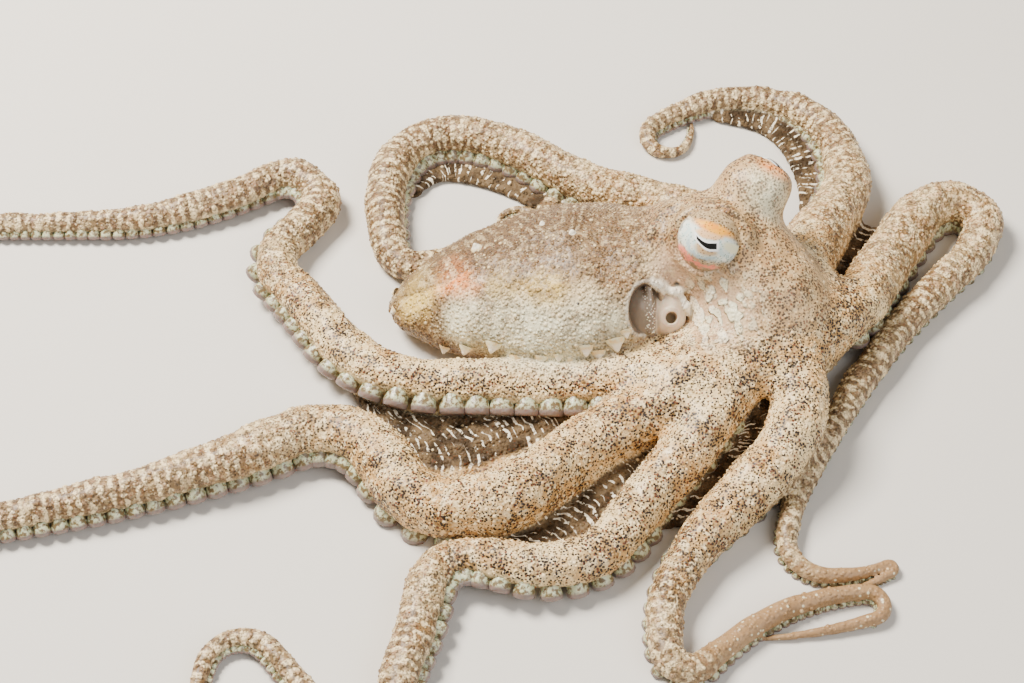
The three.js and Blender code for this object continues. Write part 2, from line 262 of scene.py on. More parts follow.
def give_map(mesh, name, spread):
    """A UV map that gives each vertex one place."""
    corner = np.empty(len(mesh.loops), np.int32)
    mesh.loops.foreach_get("vertex_index", corner)
    layer = mesh.uv_layers.new(name=name)
    layer.uv.foreach_set("vector", spread[corner].astype(np.float32).ravel())


def vertex_places(mesh):
    flat = np.empty(len(mesh.vertices) * 3, np.float32)
    mesh.vertices.foreach_get("co", flat)
    return flat.reshape(-1, 3)


# ---- Routes of the arms ----

def make_route(root, heading, roll, radii, bends):
    """Places, directions and radii along an arm, from its root to its tip."""
    root, heading = math.radians(root), math.radians(heading)
    spot = CROWN_RING * np.array([math.cos(root), math.sin(root)])
    plan, headings, along = [spot], [heading], [0.0]
    for run, turn in bends:
        steps = math.ceil(run / ROUTE_STEP)
        for step in range(1, steps + 1):
            part = run * step / steps
            angle = math.radians(turn) * step / steps
            chord = part * np.sinc(angle / 2 / math.pi)
            way = heading + angle / 2
            plan.append(spot + chord * np.array([math.cos(way), math.sin(way)]))
            headings.append(heading + angle)
            along.append(along[-1] + run / steps)
        spot, heading = plan[-1], headings[-1]
    along, headings = np.array(along), np.array(headings)
    length = along[-1]
    radius = np.interp(along / length, np.linspace(0, 1, len(radii)), radii)
    settled = ease(along, 0, SETTLE_LENGTH)
    height = CROWN_HEIGHT * (1 - settled) + REST_HEIGHT * radius * settled
    middle = np.column_stack([np.array(plan), height])
    forward = unit(np.gradient(middle, along, axis=0))
    side = np.column_stack([-np.sin(headings), np.cos(headings), np.zeros(len(along))])
    up = np.cross(forward, side)
    roll = np.radians(np.interp(along, *zip(*roll)))[:, None]
    return dict(along=along, length=length, radius=radius, middle=middle, forward=forward,
                side=side, up=up, oral=-up * np.cos(roll) + side * np.sin(roll),
                flank=up * np.sin(roll) + side * np.cos(roll))


def at(route, key, distance):
    """A route's value at distances along it."""
    values = route[key]
    if values.ndim == 1:
        return np.interp(distance, route["along"], values)
    return np.stack([np.interp(distance, route["along"], column) for column in values.T], -1)


ROUTES = {name: make_route(*arm) for name, arm in ARMS.items()}
ARM_NAMES = list(ROUTES)


# ---- The space that the skin is worked out in ----

def laid(values, way):
    """Values laid along one of the three ways of a block of cells."""
    return values.reshape([-1 if k == way else 1 for k in range(3)])


lowest, highest = np.array(cad_box[0]) / MM - AIR, np.array(cad_box[1]) / MM + AIR
lowest[2] = -UNDER_FLOOR
AXES = [np.arange(low, high, CELL, dtype=np.float32) for low, high in zip(lowest, highest)]
X, Y, Z = (laid(axis, way) for way, axis in enumerate(AXES))
SHAPE = tuple(len(axis) for axis in AXES)


def nowhere():
    return np.full(SHAPE, FAR, np.float32)


def window(place, reach):
    """The cells within a reach of a place."""
    cells = []
    for middle, axis in zip(place, AXES):
        first = max(int((middle - reach - axis[0]) / CELL), 0)
        cells.append(slice(first, max(int((middle + reach - axis[0]) / CELL) + 2, first + 1)))
    return tuple(cells)


def nearest_of(places, radii, reach):
    """How far each cell is from the nearest of many balls, and which ball that is."""
    best = nowhere()
    owner = np.full(SHAPE, -1, np.int16)
    for number, (place, radius) in enumerate(zip(places, np.broadcast_to(radii, len(places)))):
        cut = window(place, radius + reach)
        x, y, z = X[cut[0]] - place[0], Y[:, cut[1]] - place[1], Z[:, :, cut[2]] - place[2]
        away = np.sqrt(x * x + y * y + z * z) - np.float32(radius)
        closer = away < best[cut]
        best[cut] = np.where(closer, away, best[cut])
        owner[cut] = np.where(closer, np.int16(number), owner[cut])
    return best, owner


def unevenness(size, seed):
    """Smooth random rise and fall from -1 to 1, with hills about a size apart."""
    random = np.random.default_rng(seed)
    values = random.uniform(-1, 1, [int(len(a) * CELL / size) + 6 for a in AXES])
    values = values.astype(np.float32)
    for way, axis in enumerate(AXES):
        place = (axis - axis[0]) / size + 1
        cell = np.floor(place).astype(int)
        t = laid(place - cell, way)
        weights = [(1 - t) ** 3 / 6, (3 * t ** 3 - 6 * t ** 2 + 4) / 6,
                   (-3 * t ** 3 + 3 * t ** 2 + 3 * t + 1) / 6, t ** 3 / 6]
        values = sum(np.take(values, cell - 1 + k, axis=way) * w for k, w in enumerate(weights))
    return values * 2


# ---- Shapes, as the distance from their surface ----

def mass_gap(x, y, z, mass):
    middle, half, heading = mass
    turn = math.radians(heading)
    along = (x - middle[0]) * math.cos(turn) + (y - middle[1]) * math.sin(turn)
    across = (y - middle[1]) * math.cos(turn) - (x - middle[0]) * math.sin(turn)
    up = z - middle[2]
    inner = np.sqrt((along / half[0]) ** 2 + (across / half[1]) ** 2 + (up / half[2]) ** 2)
    outer = np.sqrt((along / half[0] ** 2) ** 2 + (across / half[1] ** 2) ** 2
                    + (up / half[2] ** 2) ** 2)
    return inner * (inner - 1) / np.maximum(outer, 1e-4)


def ball_gap(x, y, z, ball):
    middle, radius = ball
    away = np.sqrt((x - middle[0]) ** 2 + (y - middle[1]) ** 2 + (z - middle[2]) ** 2)
    return away - radius


def from_line(x, y, z, start, way):
    """Distances ahead along a line, aside from it, and away from its start."""
    dx, dy, dz = x - start[0], y - start[1], z - start[2]
    ahead = dx * way[0] + dy * way[1] + dz * way[2]
    away = np.sqrt(dx * dx + dy * dy + dz * dz)
    return ahead, np.sqrt(np.maximum(away ** 2 - ahead ** 2, 0)), away


def mantle_gap(x, y, z):
    """The mantle lies along X. Its underside is flatter than its back."""
    shares, halves = np.array(MANTLE_OUTLINE).T
    fine = np.linspace(0, 1, 81)
    soft = np.interp(fine, shares, halves)
    for _ in range(6):
        soft[1:-1] = (soft[:-2] + 2 * soft[1:-1] + soft[2:]) / 4
    share = np.clip((x - MANTLE_TIP) / (MANTLE_FRONT - MANTLE_TIP), 0, 1)
    half = np.interp(share, fine, soft)
    rise = np.interp(share, np.linspace(0, 1, len(MANTLE_HEIGHTS)), MANTLE_HEIGHTS)
    past = np.maximum(np.maximum(MANTLE_TIP - x, x - MANTLE_FRONT), 0)
    up = z - rise
    skirt = 1 + 0.06 * ease(-up, 0, 4)
    across = (y - MANTLE_MIDDLE) / skirt
    reach = np.sqrt(across ** 2 + (up / MANTLE_FLATNESS) ** 2 + past ** 2)
    return (reach - half) * 0.82


def arm_gap(route):
    """An arm: round above, flatter on its suckered side."""
    size = route["radius"] * 0.98 - COAT_DEPTH
    _, owner = nearest_of(route["middle"], size, 2.6)
    cells = np.nonzero(owner >= 0)
    spot = owner[cells]
    offset = np.column_stack([axis[cell] for axis, cell in zip(AXES, cells)])
    offset = offset - route["middle"][spot]
    step = np.einsum("ij,ij->i", offset, route["forward"][spot])
    distance = route["along"][spot] + step
    offset -= step[:, None] * route["forward"][spot]
    size = np.interp(distance, route["along"], size)
    past = np.maximum(distance - route["length"], 0) + np.maximum(-distance, 0)
    reach = np.sqrt((offset ** 2).sum(1) + past ** 2)
    toward = np.einsum("ij,ij->i", offset, route["oral"][spot])
    flat = toward - size * SOLE_HEIGHT
    result = nowhere()
    result[cells] = -blended(-(reach - size), -flat, np.maximum(size * SOLE_EDGE, 0.1))
    return result


def sheet_grid(rows, columns):
    """Shares across and along a sheet, at each of its places."""
    across, along = np.meshgrid(np.linspace(0, 1, columns), np.linspace(0, 1, rows))
    return across.ravel(), along.ravel()


def web_places(first, second, reach_first, reach_second, pale_from):
    """A web's middle sheet, and for each place how far it is across and along its folds, and
    how dark it is painted: partly its own brown, partly painted shade where it lies low between
    the arms. The folds run out from the mouth, and further out from arm to arm."""
    share, outward = sheet_grid(120, 60)
    reach = outward * (1 - WEB_SAG * np.sin(math.pi * share))
    a = at(ROUTES[first], "middle", reach * reach_first)
    b = at(ROUTES[second], "middle", reach * reach_second)
    place = a + (b - a) * share[:, None]
    settled = ease(reach, 0.2, 0.9)
    pleat = np.cos(2 * math.pi * WEB_PLEATS * share) * PLEAT_DEPTH * ease(reach, 0.15, 0.5)
    place[:, 2] = place[:, 2] * 0.6 * (1 - settled) + WEB_FLOOR * settled
    place[:, 2] += WEB_THICKNESS / 2 + pleat
    out = outward * (reach_first + reach_second) / 2
    over = share * np.linalg.norm(b - a, axis=1)
    outer = ease(outward, 0.3, 0.55)
    # Dark near the mouth and near the first arm: partly the web's own brown, partly painted shade.
    dark_and_shade = 1 - ease(share, pale_from, pale_from + 0.25) * ease(outward, 0.3, 0.5)
    return place, out * outer + over * (1 - outer), over * outer + out * (1 - outer), dark_and_shade


def fringe_places(arm, start, end, width):
    """The same for a margin of skin, whose folds run out from its arm."""
    across, along = sheet_grid(90, 12)
    distance = start + (end - start) * along
    route = ROUTES[arm]
    reach = across * (at(route, "radius", distance) + width * np.sqrt(np.sin(math.pi * along)))
    place = at(route, "middle", distance) + at(route, "side", distance) * reach[:, None]
    place[:, 2] = WEB_FLOOR + WEB_THICKNESS / 2
    place[:, 2] += 0.2 * np.cos(along * (end - start) * 2) * ease(across, 0.4, 1)
    return place, distance, reach, np.ones(len(place))


WEB_SHEETS = [web_places(*web) for web in WEBS] + [fringe_places(*strip) for strip in FRINGES]


def eye_opening(eye):
    """The cone in front of an eye where its lids are open."""
    ahead, aside, away = from_line(X, Y, Z, eye["middle"], unit(eye["look"]))
    lid = math.radians(eye["lid"])
    cone = aside * math.cos(lid) - ahead * math.sin(lid)
    return np.maximum(cone, np.maximum(eye["radius"] - 0.3 - away, away - 2 * eye["radius"]))


def grown_over(gap, masses, inset, width):
    """A surface with round masses grown onto it."""
    for mass in masses:
        gap = blended(gap, mass_gap(X, Y, Z, mass) + inset, width)
    return gap


def make_skin_gap():
    """The whole skin: arms, webs, crown, head and mantle grown into one another."""
    softness = 3.2 - 2.8 * ease(np.sqrt(X * X + Y * Y), 13, 34)
    skin = nowhere()
    for route in ROUTES.values():
        skin = blended(skin, arm_gap(route), softness)
    for place, *_ in WEB_SHEETS:
        skin = blended(skin, nearest_of(place, WEB_THICKNESS / 2, 1.6)[0], 1.1)
    skin = grown_over(skin, CROWN_MASSES, COAT_DEPTH, 3.0)
    head = grown_over(nowhere(), HEAD_MASSES, COAT_DEPTH, 3.0)
    head = grown_over(head, EYE_MOUNDS, 0.1, 2.0)
    lids = [(eye["middle"], (eye["radius"] + LID_THICKNESS,) * 3, 0) for eye in EYES]
    skin = blended(skin, grown_over(head, lids, 0.0, 0.8), 3.2)
    neck = 2.4 - 2.1 * ease(-X, 16, 24)
    skin = blended(skin, mantle_gap(X, Y, Z) + COAT_DEPTH, neck)
    uneven = sum(unevenness(size, seed) * height for size, seed, height in UNEVENNESS)
    skin += np.minimum(uneven, MOST_UNEVEN * WEB_THICKNESS) * ease(Z, 0.6, 3.0)
    skin = hollowed(skin, mass_gap(X, Y, Z, MANTLE_OPENING), 0.5)
    flap = points_along(FUNNEL_FLAP, len(FLAP_RADII))
    skin = blended(skin, nearest_of(flap, FLAP_RADII, 1.5)[0], 0.3)
    skin = blended(skin, nearest_of(points_along(BROW, BROW_STEPS), BROW_RADIUS, 2.5)[0], 1.6)
    for eye in EYES:
        skin = hollowed(skin, eye_opening(eye), 0.35)
    return np.maximum(skin, SKIN_FLOOR - Z)


def surfaced(name, gap, corner, cell):
    """The surface of a shape worked out in a grid of cells."""
    grid = openvdb.FloatGrid()
    grid.copyFromArray(np.clip(gap, -FAR / 2, FAR / 2).astype(np.float32))
    places, _, quads = grid.convertToPolygons(isovalue=0.0, adaptivity=0.0)
    return mesh_object(name, places * cell + np.array(corner), quads.tolist())


def make_skin():
    skin = surfaced("skin", make_skin_gap(), [axis[0] for axis in AXES], CELL)
    shrink = skin.modifiers.new("fewer faces", "DECIMATE")
    shrink.ratio = SKIN_TRIANGLES / (2 * len(skin.data.polygons))
    return plain_copy(skin, "skin")


# ---- What each place on the skin belongs to ----

class Tree:
    """Finds the nearest of many places."""

    def __init__(self, places):
        self.tree = kdtree.KDTree(len(places))
        for number, place in enumerate(places):
            self.tree.insert(place, number)
        self.tree.balance()

    def nearest(self, places):
        numbers, distances = zip(*(self.tree.find(place)[1:] for place in places))
        return np.array(numbers), np.array(distances)

    def mean_of_near(self, places, values, count=6):
        """The mean of some values over the nearest few places, the nearer counting more."""
        found = np.array([[(number, away) for _, number, away in self.tree.find_n(place, count)]
                          for place in places])
        weight = 1 / (found[:, :, 1] + 0.05) ** 2
        share = weight / weight.sum(axis=1, keepdims=True)
        return [(value[found[:, :, 0].astype(int)] * share).sum(axis=1) for value in values]


def skin_traits(mesh):
    """Marks each vertex with what its colour, gloss and granules depend on."""
    places = vertex_places(mesh) / MM
    x, y, z = places.T
    routes = list(ROUTES.values())
    near = [np.concatenate([route[key] for route in routes])
            for key in ("middle", "forward", "oral", "along", "radius")]
    spot, _ = Tree(near[0]).nearest(places)
    middle, forward, underside, along, size = (values[spot] for values in near)
    arm = np.repeat(np.arange(len(routes)), [len(route["along"]) for route in routes])[spot]
    offset = places - middle
    step = np.einsum("ij,ij->i", offset, forward)
    offset -= step[:, None] * forward
    away = np.linalg.norm(offset, axis=1) / size
    toward = np.einsum("ij,ij->i", offset, underside) / size
    along = along + step
    share = along / np.array([route["length"] for route in routes])[arm]

    sheet, *folds = (np.concatenate(parts) for parts in zip(*WEB_SHEETS))
    tree = Tree(sheet)
    _, web_away = tree.nearest(places)
    webbed = web_away < 3
    folded = np.zeros((3, len(places)))
    folded[:, webbed] = tree.mean_of_near(places[webbed], folds)
    fold_across, fold_along, dark_and_shade = folded
    web = (1 - ease(web_away, 0.9, 1.7)) * ease(away, 0.9, 1.15)

    mantle = 1 - ease(mantle_gap(x, y, z), 0.1, 1.2)
    head = np.min([mass_gap(x, y, z, mass) for mass in HEAD_MASSES + EYE_MOUNDS], axis=0)
    head = (1 - ease(head, 0.3, 2.5)) * (1 - mantle)
    crown = 1 - ease(np.hypot(x, y), 12, 26)
    arms = (1 - head) * (1 - mantle)
    oral = ease(toward, 0.3, 0.75) * arms * (1 - crown * 0.6) * (1 - web)
    oral *= 1 - ease(away, 1.1, 1.3)
    from_eyes = np.min([np.linalg.norm(places - eye["middle"], axis=1) - eye["radius"]
                        for eye in EYES], axis=0)
    opening = mass_gap(x, y, z, MANTLE_OPENING)
    pocket = 1 - ease(opening, 0.05, 0.35)
    _, flap_away = Tree(points_along(FUNNEL_FLAP, 40)).nearest(places)
    rim = (1 - pocket) * (1 - ease(opening, 0.2, 0.7)) * ease(MANTLE_OPENING[0][0] - x, -1, 0)
    rim = np.maximum(rim, 1 - ease(flap_away, 0.7, 1.1))
    _, brow_away = Tree(points_along(BROW, BROW_STEPS)).nearest(places)
    smooth = np.zeros(len(places))
    for name, start in SMOOTH_ARMS:
        smooth += ease(share, start, start + 0.1) * (arm == ARM_NAMES.index(name))
    smooth *= arms * (1 - web)
    coarse = np.isin(arm, [ARM_NAMES.index(name) for name in COARSE_ARMS]) * (1 - crown)
    coarse = np.maximum(coarse * 0.85, ease(share, 0.32, 0.5)) * arms * (1 - smooth)

    granular = arms * (1 - 0.75 * ease(share, 0.72, 0.95)) + mantle * 0.8 + head * 0.25
    granular *= (1 - 0.9 * oral) * (1 - 0.8 * web) * (1 - pocket) * ease(from_eyes, 0.9, 2.2)
    granular *= ease(z, 0.25, 0.9) * (1 - 0.8 * smooth) * ease(flap_away, 0.9, 1.4)

    # The webs' dark mark is partly their own brown and partly painted shade where they lie low.
    traits = dict(along=along, share=share, web=web, fold_across=fold_across,
                  fold_along=fold_along, dark_web=web * dark_and_shade, mantle=mantle, head=head,
                  oral=oral, pocket=pocket, rim=rim, brow=1 - ease(brow_away, 0.6, 1.8),
                  smooth=smooth, coarse=coarse, granular=granular)
    for name, values in traits.items():
        give_trait(mesh, name, values)
    owner = np.where(mantle + head > 0.5, len(ROUTES), arm)
    give_trait(mesh, "owner", owner, "INT")


# ---- Finishes ----

def tone(code):
    """A colour from its six-digit code, as Blender's shaders take it."""
    values = [int(code[k:k + 2], 16) / 255 for k in (0, 2, 4)]
    linear = [v / 12.92 if v <= 0.04045 else ((v + 0.055) / 1.055) ** 2.4 for v in values]
    return (*linear, 1.0)


class Nodes:
    """A tree of nodes, with short ways to add to it."""

    def __init__(self, tree):
        self.tree = tree

    def feed(self, socket, value):
        if isinstance(value, bpy.types.NodeSocket):
            self.tree.links.new(value, socket)
        else:
            socket.default_value = value

    def put(self, kind, inputs=None, **settings):
        node = self.tree.nodes.new(kind)
        for key, value in settings.items():
            setattr(node, key, value)
        for key, value in (inputs or {}).items():
            self.feed(node.inputs[key], value)
        return node


class Finish(Nodes):
    """A material. Its colour is laid on in coats, and its surface raised bump over bump."""

    def __init__(self, name, colour, **constants):
        self.material = bpy.data.materials.new(name)
        self.material.use_nodes = True
        super().__init__(self.material.node_tree)
        self.shader = self.tree.nodes["Principled BSDF"]
        for socket, value in constants.items():
            self.wear(socket.replace("_", " "), value)
        self.place = self.put("ShaderNodeTexCoord").outputs["Object"]
        self.colour, self.normal = colour, None

    def wear(self, socket, value):
        self.feed(self.shader.inputs[socket], value)

    def done(self):
        self.wear("Base Color", self.colour)
        return self.material

    def trait(self, name):
        return self.put("ShaderNodeAttribute", attribute_name=name).outputs["Fac"]

    def calc(self, operation, *values, **settings):
        return self.put("ShaderNodeMath", dict(enumerate(values)), operation=operation,
                        **settings).outputs[0]

    def times(self, *values):
        return reduce(lambda a, b: self.calc("MULTIPLY", a, b), values)

    def most(self, *values):
        return reduce(lambda a, b: self.calc("MAXIMUM", a, b), values)

    def rest(self, share):
        return self.calc("SUBTRACT", 1.0, share)

    def plus(self, base, value, factor=1.0, **settings):
        return self.calc("MULTIPLY_ADD", value, factor, base, **settings)

    def frayed(self, value, noise):
        """A value made uneven by half of a noise's rise and fall."""
        return self.plus(value, self.calc("SUBTRACT", noise, 0.5), 0.5)

    def rise(self, value, low, high, start=0.0, end=1.0):
        """A smooth change from start to end while the value goes from low to high."""
        inputs = {"Value": value, "From Min": low, "From Max": high, "To Min": start,
                  "To Max": end}
        return self.put("ShaderNodeMapRange", inputs,
                        interpolation_type="SMOOTHSTEP").outputs["Result"]

    def tint(self, share, a, b):
        """Colour a with a share of colour b. A colour may be a six-digit code."""
        a, b = (tone(paint) if isinstance(paint, str) else paint for paint in (a, b))
        return self.put("ShaderNodeMix", {0: share, 6: a, 7: b}, data_type="RGBA").outputs[2]

    def lay(self, paint, *shares):
        """A coat over the colour so far, as strong as its shares multiplied."""
        self.colour = self.tint(self.times(*shares), self.colour, paint)

    def measure(self, operation, *vectors):
        return self.put("ShaderNodeVectorMath", dict(enumerate(vectors)),
                        operation=operation).outputs["Value"]

    def near(self, place, reach):
        """1 at a place in millimetres, falling to 0 at its reach."""
        away = self.measure("DISTANCE", self.place, [v * MM for v in place])
        return self.rise(away, reach * MM, reach * 0.25 * MM)

    def clouds(self, size, detail=3.0):
        """Cloudy noise whose clouds are about size millimetres apart."""
        return self.put("ShaderNodeTexNoise", {
            "Vector": self.place, "Scale": 1 / (size * MM), "Detail": detail,
            "Roughness": 0.55}).outputs["Fac"]

    def spots(self, size):
        """Scattered spots, size millimetres apart: distance from the nearest, and its number."""
        node = self.put("ShaderNodeTexVoronoi", {"Vector": self.place, "Scale": 1 / (size * MM)})
        number = self.put("ShaderNodeSeparateColor", {"Color": node.outputs["Color"]})
        return node.outputs["Distance"], number.outputs["Red"]

    def bump(self, height, distance, strength=1.0):
        inputs = {"Height": height, "Distance": distance * MM, "Strength": strength}
        if self.normal:
            inputs["Normal"] = self.normal
        self.normal = self.put("ShaderNodeBump", inputs).outputs["Normal"]
        self.wear("Normal", self.normal)

    def dull(self, share, full, least):
        """Takes the gloss away where a share is full."""
        self.wear("Specular IOR Level", self.rise(share, 0, full, 0.5, least))
        self.wear("Coat Weight", self.rise(share, 0, full, 0.15, 0.0))


SAND, PALE_SAND, DEEP_SAND = "d4a564", "f2d298", "99733e"
LILAC, HEAD_TAN, CREAM = "785c3c", "ab865c", "ffe5b2"
WHITE, GREEN_WHITE, YELLOW = "fff4dc", "efe9c4", "f2cf6c"
DARK_BROWN, RUST, NEAR_BLACK = "231206", "6a3411", "0a0705"
# The webs' two browns: partly their own colour, partly painted shade where they lie low between
# arms.
WEB_BROWN, SHADED_DARK_WEB, POCKET_GREY = "6b5840", "3e3122", "8a7663"
ORANGE, BEIGE, BLUSH = "f28a35", "9c7850", "d0ac8c"
OLIVE, PEBBLE, PINK_PEBBLE = "64492a", "e8cc98", "f0c498"

# Patches on the body, in the order they are laid: colour, then middle, reach and strength.
PATCHES = [
    (ORANGE, [((-44.2, 7.8, 11.3), 5.0, 0.95), ((-41.6, 4.6, 12.1), 3.5, 0.6)]),
    (YELLOW, [((-48.9, 7.2, 8.2), 6.0, 0.85), ((-36.5, 3.5, 13.9), 4.0, 0.6),
              ((-31.0, 1.7, 14.9), 4.5, 0.7)]),
    (CREAM, [((-25.6, -0.2, 15.0), 4.0, 0.6)]),
    (GREEN_WHITE, [((-42.0, 0.4, 9.1), 6.0, 0.9), ((-37.1, -1.5, 10.2), 7.0, 0.95),
                   ((-33.0, -3.0, 10.3), 7.0, 0.95), ((-28.9, -3.8, 10.8), 7.0, 0.95),
                   ((-23.5, -3.2, 12.2), 6.5, 0.9)]),
    (CREAM, [((-16.0, 3.7, 17.3), 3.0, 0.7)]),
    (GREEN_WHITE, [((-1.0, 11.5, 24.4), 4.5, 0.85), ((0.5, 10.7, 22.2), 4.0, 0.7)]),
    (ORANGE, [((0.6, 15.6, 25.2), 3.6, 1.0)]),
    (LILAC, [((-14.5, 9.3, 19.8), 8.0, 0.5), ((-34.4, 11.8, 15.1), 12.0, 0.8),
             ((-24.0, 11.0, 17.4), 10.0, 0.8)]),
]
BRIGHT = (GREEN_WHITE, YELLOW, CREAM)       # colours under which dots are paler
# Places on the head: middle and reach.
CALM = ((-12.8, 3.6, 16.4), 5.5)            # smooth and blushing, before the right eye
CHEEK = ((-7.0, -1.2, 13.8), 8.5)
SPECK = ((-12.9, 3.0, 14.5), 0.7)
CHEEK_WAY = (1.0, 0.25, 0.2)                # the way across the ripples on the cheek
# How far apart the marks of the skin's patterns are.
TINTS, CROWDS, RIPPLES, LUMPS, BLOBS = 8, 3.2, 2.3, 1.5, 2.1
PEBBLES, DOTS, SPECKS, PALE_DOTS, WEB_LINES, ARM_ROWS = 0.85, 0.37, 5.5, 1.0, 1.5, 1.5


def paint_web(finish, crowd):
    """A web painted dark brown, partly its own colour and partly painted shade, with white
    dashes along its folds.
    """
    across = finish.trait("fold_across")
    folds = finish.put("ShaderNodeCombineXYZ", {
        "X": finish.times(across, 1 / 1.4),
        "Y": finish.times(finish.trait("fold_along"), 1 / 4.0)}).outputs[0]
    waves = finish.put("ShaderNodeTexNoise", {"Vector": folds, "Scale": 1.0,
                                              "Detail": 1.0}).outputs["Fac"]
    lines = finish.plus(finish.times(across, 2 * math.pi / WEB_LINES), waves, 4.0)
    lines = finish.plus(finish.calc("SINE", lines), waves, 4.0)
    dashes = finish.rise(finish.clouds(1.1, 2), 0.45, 0.52)
    dark = finish.tint(finish.rise(crowd, 0.4, 0.6), WEB_BROWN, SHADED_DARK_WEB)
    return finish.tint(finish.times(finish.rise(lines, 2.7, 2.95), dashes, 0.9), dark, WHITE)


def paint_skin(finish):
    """The octopus's colours: sand with dark dots and white flecks, patches, and dark webs that
    are partly painted shade.
    """
    calc, lay, most, near, plus = finish.calc, finish.lay, finish.most, finish.near, finish.plus
    rise, spots, times, trait = finish.rise, finish.spots, finish.times, finish.trait
    mantle, head, web, dark_web = (trait(name) for name in ("mantle", "head", "web", "dark_web"))
    oral, pocket, rim, share = (trait(name) for name in ("oral", "pocket", "rim", "share"))
    brow, smooth, coarse = (trait(name) for name in ("brow", "smooth", "coarse"))
    tints, crowd = finish.clouds(TINTS), finish.clouds(CROWDS)
    lay(PALE_SAND, rise(tints, 0.38, 0.62))
    lay(DEEP_SAND, rise(crowd, 0.45, 0.62, 0, 0.75))
    lay(LILAC, mantle, 0.8)
    lay(HEAD_TAN, head, 0.6)
    ragged = rise(crowd, 0.62, 0.4, 0.45, 1)
    bright = 0.0
    for paint, patches in PATCHES:
        for place, reach, strength in patches:
            patch = times(near(place, reach), ragged, strength)
            lay(paint, patch)
            bright = most(bright, patch) if paint in BRIGHT else bright
    calm, cheek = near(*CALM), near(*CHEEK)
    lay(BLUSH, calm, 0.8)
    over = finish.measure("DOT_PRODUCT", finish.place, [v / MM for v in CHEEK_WAY])
    ripples = plus(times(finish.clouds(2.4, 1), 8.0), over, 2 * math.pi / RIPPLES)
    lumps = calc("SUBTRACT", times(calc("SINE", ripples), 0.25), spots(LUMPS)[0])
    finish.lumps = times(cheek, rise(lumps, -0.62, -0.38))
    lay(BLUSH, cheek, 0.75)
    lay(finish.tint(rise(tints, 0.4, 0.6), WHITE, GREEN_WHITE), finish.lumps)
    lay(DEEP_SAND, brow, 0.5)
    grains, kind = spots(PEBBLES)
    pebbles = finish.tint(rise(kind, 0.3, 0.7), PEBBLE, PINK_PEBBLE)
    lay(finish.tint(rise(grains, 0.6, 0.32), OLIVE, pebbles), coarse, 0.7)
    lay(OLIVE, rise(share, 0.22, 0.55, 0, 0.6))
    # The webs' dark coat: partly their own brown, partly painted shade where they lie low.
    lay(paint_web(finish, crowd), rise(dark_web, 0.15, 0.7))
    lay(GREEN_WHITE, oral, 0.5)
    lay(BEIGE, smooth, 0.85)
    lay(POCKET_GREY, pocket, 0.9)

    # White flecks, in rings round the arms further out, and cream blobs.
    rows = calc("SINE", times(trait("along"), 2 * math.pi / ARM_ROWS))
    flecks = plus(finish.clouds(1.2, 2), rows, rise(share, 0.2, 0.45, 0, 0.12))
    flecks = rise(finish.frayed(flecks, finish.clouds(0.7, 2)), 0.5, 0.66)
    still = most(head, times(mantle, 0.95))
    bare = most(oral, pocket, smooth)
    lay(CREAM, flecks, rise(still, 0, 1, 0.8, 0.3), rise(most(bare, web), 1, 0))
    blobs, kind = spots(BLOBS)
    blobs = times(rise(blobs, 0.46, 0.12), rise(kind, 0.45, 0.55),
                  rise(most(still, bare), 1, 0), finish.rest(dark_web))
    lay(CREAM, blobs, 0.6)

    # Dark dots, larger where they crowd, and fewer where the skin is plain or quiet.
    dots, number = spots(DOTS)
    edge = plus(plus(rise(crowd, 0.36, 0.6, 0.36, 0.5), blobs, -0.1), brow, 0.06)
    plain = plus(times(mantle, 0.45), head, 0.2)
    plain = plus(most(plain, times(coarse, 0.6)), bright, 0.5)
    bare = most(bare, times(dark_web, 0.85), rim)
    plain = plus(plain, bare, use_clamp=True)
    quiet = most(times(cheek, 0.8), times(calm, 0.75))
    lay(finish.tint(rise(number, 0.8, 0.85), DARK_BROWN, RUST),
        rise(calc("SUBTRACT", dots, edge), 0.04, -0.05),
        finish.rest(times(plain, 0.85)), finish.rest(quiet))
    lay(DARK_BROWN, rise(spots(SPECKS)[0], 0.045, 0.03), mantle)
    lay(NEAR_BLACK, near(*SPECK))
    lay(GREEN_WHITE, rise(spots(PALE_DOTS)[0], 0.24, 0.12), smooth, 0.8)
    lay(WHITE, rim, 0.9)


def skin_finish():
    finish = Finish("octopus skin", SAND, Roughness=0.5, Coat_Weight=0.15, Coat_Roughness=0.3)
    paint_skin(finish)
    finish.bump(finish.lumps, 0.35, 0.9)
    wrinkle = finish.clouds(1.6, 4)
    height = finish.plus(finish.rise(finish.spots(0.6)[0], 0.6, 0.05), wrinkle, 1.6)
    sleek = finish.most(finish.trait("head"), finish.trait("smooth"))
    finish.bump(finish.times(height, finish.rest(finish.times(sleek, 0.6))), 0.32, 0.8)
    finish.wear("Roughness", finish.rise(wrinkle, 0.35, 0.65, 0.42, 0.6))
    finish.dull(finish.trait("dark_web"), 0.8, 0.1)
    return finish.done()


def granule_finish():
    finish = Finish("granules", SAND, Roughness=0.5, Coat_Weight=0.12, Coat_Roughness=0.3)
    paint_skin(finish)
    finish.lay(CREAM, finish.rise(finish.trait("crest"), 0.1, 0.9),
               finish.rise(finish.trait("paleness"), 0.7, 0.85), 0.7)
    return finish.done()


def papilla_finish():
    finish = Finish("papillae", PALE_SAND, Roughness=0.5, Coat_Weight=0.12, Coat_Roughness=0.3)
    finish.lay(GREEN_WHITE, finish.rise(finish.clouds(0.8), 0.4, 0.6))
    finish.lay(WHITE, finish.rise(finish.trait("crest"), 0.0, 0.5))
    finish.bump(finish.clouds(0.5), 0.2)
    return finish.done()


